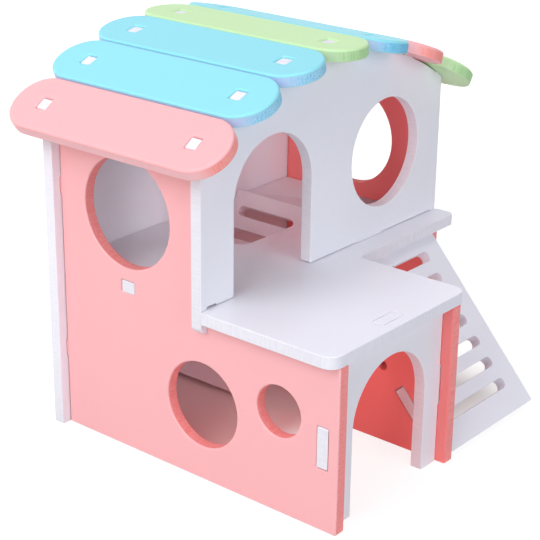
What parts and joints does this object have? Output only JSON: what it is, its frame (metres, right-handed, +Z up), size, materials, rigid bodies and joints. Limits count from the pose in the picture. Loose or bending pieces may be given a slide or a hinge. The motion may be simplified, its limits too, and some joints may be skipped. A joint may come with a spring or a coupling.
{
  "type": "hamster house",
  "caption": "Slot-together house with an upper floor for a small pet: arched doorways, round windows, a balcony, slotted ramps and an arched roof of round-ended planks.",
  "frame": {"origin": "on the ground, under the middle of the whole house with its roof", "axes": "+Z up, +X to the right across the front, -Y out of the front, where the doors are"},
  "size_m": [0.1804, 0.1606, 0.1636],
  "materials": {
    "pink_board": "smooth matte faces with finely pitted sawn edges",
    "white_board": "smooth matte faces with finely pitted sawn edges",
    "light_blue_board": "smooth matte faces with finely pitted sawn edges",
    "green_board": "smooth matte faces with finely pitted sawn edges"
  },
  "bodies": {
    "root": {"left_side_wall": "pink_board", "right_side_wall": "pink_board", "low_wall": "pink_board", "back_wall": "white_board", "gable_wall": "white_board", "front_wall": "white_board", "floor_board": "white_board", "outer_ramp": "white_board", "inner_ramp": "white_board", "roof_plank_1": "pink_board", "roof_plank_2": "light_blue_board", "roof_plank_3": "light_blue_board", "roof_plank_4": "green_board", "roof_plank_5": "light_blue_board", "roof_plank_6": "pink_board", "roof_plank_7": "green_board"}
  },
  "joints": []
}
